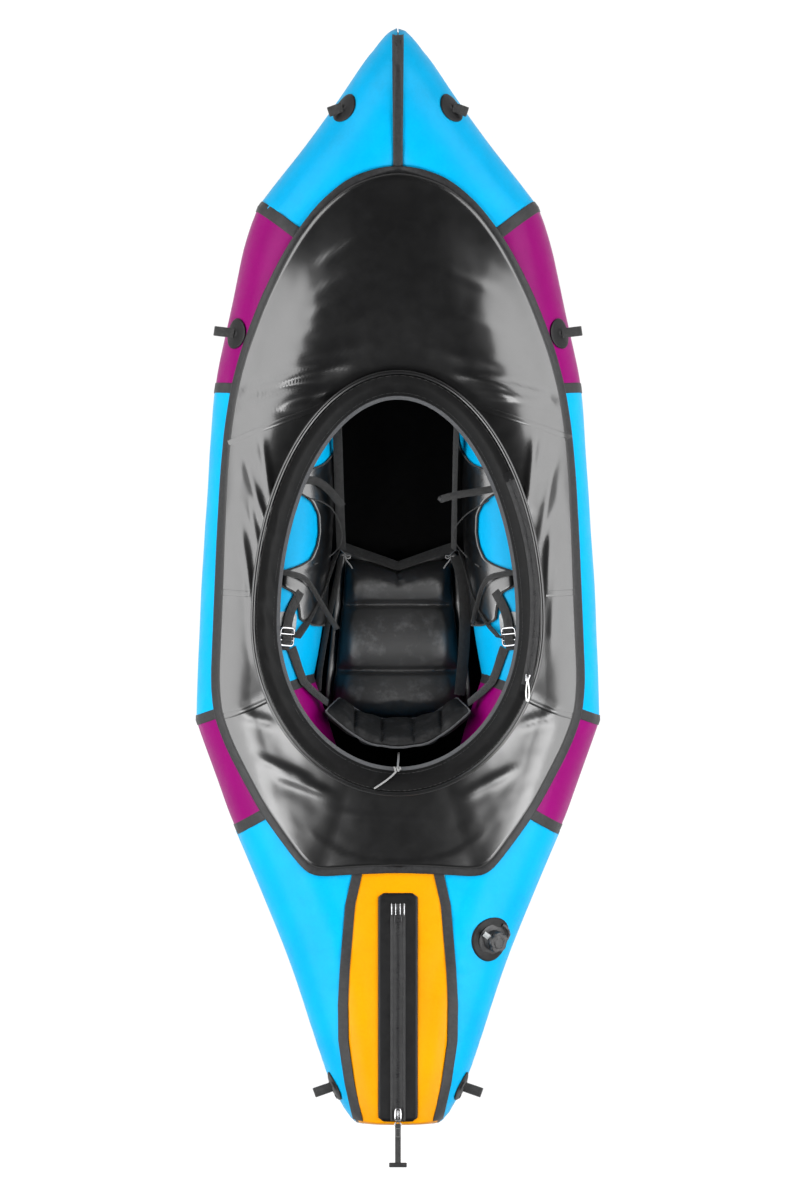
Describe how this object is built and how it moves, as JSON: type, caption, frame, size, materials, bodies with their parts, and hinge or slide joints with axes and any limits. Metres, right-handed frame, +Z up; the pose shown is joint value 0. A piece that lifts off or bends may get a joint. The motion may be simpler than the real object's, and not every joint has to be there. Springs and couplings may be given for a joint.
{
  "type": "inflatable packraft",
  "caption": "Decked inflatable packraft with an oval coaming, seat, backband, cargo zip and inflation valve.",
  "frame": {"origin": "on the ground plane under the middle of the hull floor, at the centre of the boat lengthways", "axes": "+Y towards the bow, +Z up, +X to the right of a seated paddler"},
  "size_m": [0.9024, 2.5049, 0.3731],
  "materials": {
    "blue": "coated hull fabric, satin sheen",
    "magenta": "coated hull fabric, satin sheen",
    "orange": "coated hull fabric, satin sheen",
    "inner_black": "coated black fabric",
    "seam_tape": "matt dark grey welded tape",
    "deck_fabric": "glossy black coated fabric",
    "webbing": "matt woven webbing",
    "black_plastic": "moulded black plastic",
    "silver_metal": "bright metal",
    "white_cord": "braided cord",
    "grey_cord": "braided elastic cord"
  },
  "bodies": {
    "hull": {"backband_strap_left": "webbing", "backband_strap_right": "webbing", "bow_centre_tape": "seam_tape", "bow_panel_left": "blue", "bow_panel_right": "blue", "bow_patch_left": "webbing", "bow_patch_right": "webbing", "cargo_zip_chain": "black_plastic", "cargo_zip_patch": "deck_fabric", "coaming_band": "deck_fabric", "coaming_rod": "deck_fabric", "deck_edge_tape": "seam_tape", "deck_sheet": "deck_fabric", "deck_zip_chain": "black_plastic", "floor_sheet": "inner_black", "front_side_panel_left": "magenta", "front_side_panel_right": "magenta", "front_tape_left": "seam_tape", "front_tape_right": "seam_tape", "middle_patch_left": "webbing", "middle_patch_right": "webbing", "middle_side_panel_left": "blue", "middle_side_panel_right": "blue", "rear_cord": "grey_cord", "rear_shoulder_tape_left": "seam_tape", "rear_shoulder_tape_right": "seam_tape", "rear_side_panel_left": "magenta", "rear_side_panel_right": "magenta", "rear_tape_left": "seam_tape", "rear_tape_right": "seam_tape", "seat_cushion": "deck_fabric", "shoulder_tape_left": "seam_tape", "shoulder_tape_right": "seam_tape", "stern_centre_panel": "orange", "stern_inner_wall": "inner_black", "stern_panel_left": "blue", "stern_panel_right": "blue", "stern_patch_left": "webbing", "stern_patch_right": "webbing", "stern_tape_left": "seam_tape", "stern_tape_right": "seam_tape", "strap_buckle_left": "silver_metal", "strap_buckle_right": "silver_metal", "thigh_brace_left": "deck_fabric", "thigh_brace_right": "deck_fabric", "valve_body": "black_plastic"},
    "cargo_slider": {"cargo_zip_slider": "silver_metal"},
    "cargo_pull": {"cargo_zip_pull": "webbing"},
    "deck_slider": {"deck_zip_slider": "silver_metal"},
    "deck_pull": {"deck_zip_pull": "white_cord"},
    "valve_keeper": {"valve_tether": "black_plastic"},
    "valve_cap": {"valve_cap": "black_plastic"},
    "valve_poppet": {"valve_poppet": "black_plastic"},
    "backband": {"backband": "deck_fabric"},
    "bow_loop_left": {"bow_loop_left": "webbing"},
    "bow_loop_right": {"bow_loop_right": "webbing"},
    "middle_loop_left": {"middle_loop_left": "webbing"},
    "middle_loop_right": {"middle_loop_right": "webbing"},
    "stern_loop_left": {"stern_loop_left": "webbing"},
    "stern_loop_right": {"stern_loop_right": "webbing"}
  },
  "joints": [
    {"name": "cargo_zip_slide", "type": "slide", "parent": "hull", "child": "cargo_slider", "axis": [0, 1, 0.0039], "range_m": [0, 0.44]},
    {"name": "cargo_pull_swing", "type": "hinge", "parent": "cargo_slider", "child": "cargo_pull", "pos_m": [0, -1.19399, 0.31162], "axis": [-1, 0, 0], "range_deg": [0, 90]},
    {"name": "deck_zip_travel", "type": "hinge", "parent": "hull", "child": "deck_slider", "pos_m": [-0.43053, -0.0652, 0], "axis": [0, 0, 1], "range_deg": [0, 33.3]},
    {"name": "deck_pull_swing", "type": "hinge", "parent": "deck_slider", "child": "deck_pull", "pos_m": [0.28279, -0.2194, 0.3567], "axis": [-1, 0, 0], "range_deg": [0, 100]},
    {"name": "valve_cap_lift", "type": "slide", "parent": "hull", "child": "valve_keeper", "axis": [0.5541, -0.2017, 0.8077], "range_m": [0, 0.006]},
    {"name": "valve_cap_turn", "type": "hinge", "parent": "valve_keeper", "child": "valve_cap", "pos_m": [0.20722, -0.79708, 0.26429], "axis": [0.5541, -0.2017, 0.8077], "range_deg": [0, 360]},
    {"name": "valve_poppet_press", "type": "slide", "parent": "hull", "child": "valve_poppet", "axis": [-0.5541, 0.2017, -0.8077], "range_m": [0, 0.006], "stiffness_N_per_m": 300, "springref_m": -0.004},
    {"name": "backband_tilt", "type": "hinge", "parent": "hull", "child": "backband", "pos_m": [0, -0.275, 0.19], "axis": [-1, 0, 0], "range_deg": [-8, 60]},
    {"name": "bow_loop_left_flex", "type": "hinge", "parent": "hull", "child": "bow_loop_left", "pos_m": [-0.12043, 1.03136, 0.31209], "axis": [0.6041, 0.7732, 0.1932], "range_deg": [-12, 60], "stiffness_Nm_per_rad": 0.05},
    {"name": "bow_loop_right_flex", "type": "hinge", "parent": "hull", "child": "bow_loop_right", "pos_m": [0.12043, 1.03136, 0.31209], "axis": [0.6041, -0.7732, -0.1932], "range_deg": [-12, 60], "stiffness_Nm_per_rad": 0.05},
    {"name": "middle_loop_left_flex", "type": "hinge", "parent": "hull", "child": "middle_loop_left", "pos_m": [-0.36178, 0.54058, 0.2359], "axis": [0.2314, 0.9663, 0.1125], "range_deg": [-12, 60], "stiffness_Nm_per_rad": 0.05},
    {"name": "middle_loop_right_flex", "type": "hinge", "parent": "hull", "child": "middle_loop_right", "pos_m": [0.36178, 0.54058, 0.2359], "axis": [0.2314, -0.9663, -0.1125], "range_deg": [-12, 60], "stiffness_Nm_per_rad": 0.05},
    {"name": "stern_loop_left_flex", "type": "hinge", "parent": "hull", "child": "stern_loop_left", "pos_m": [-0.14632, -1.12645, 0.22811], "axis": [0, 0.6185, 0.7858], "range_deg": [-12, 60], "stiffness_Nm_per_rad": 0.05},
    {"name": "stern_loop_right_flex", "type": "hinge", "parent": "hull", "child": "stern_loop_right", "pos_m": [0.14632, -1.12645, 0.22811], "axis": [0, -0.6185, -0.7858], "range_deg": [-12, 60], "stiffness_Nm_per_rad": 0.05}
  ],
  "couplings": [
    {"joint": "valve_cap_lift", "follows": "valve_cap_turn", "m_per_rad": 0.000954}
  ]
}
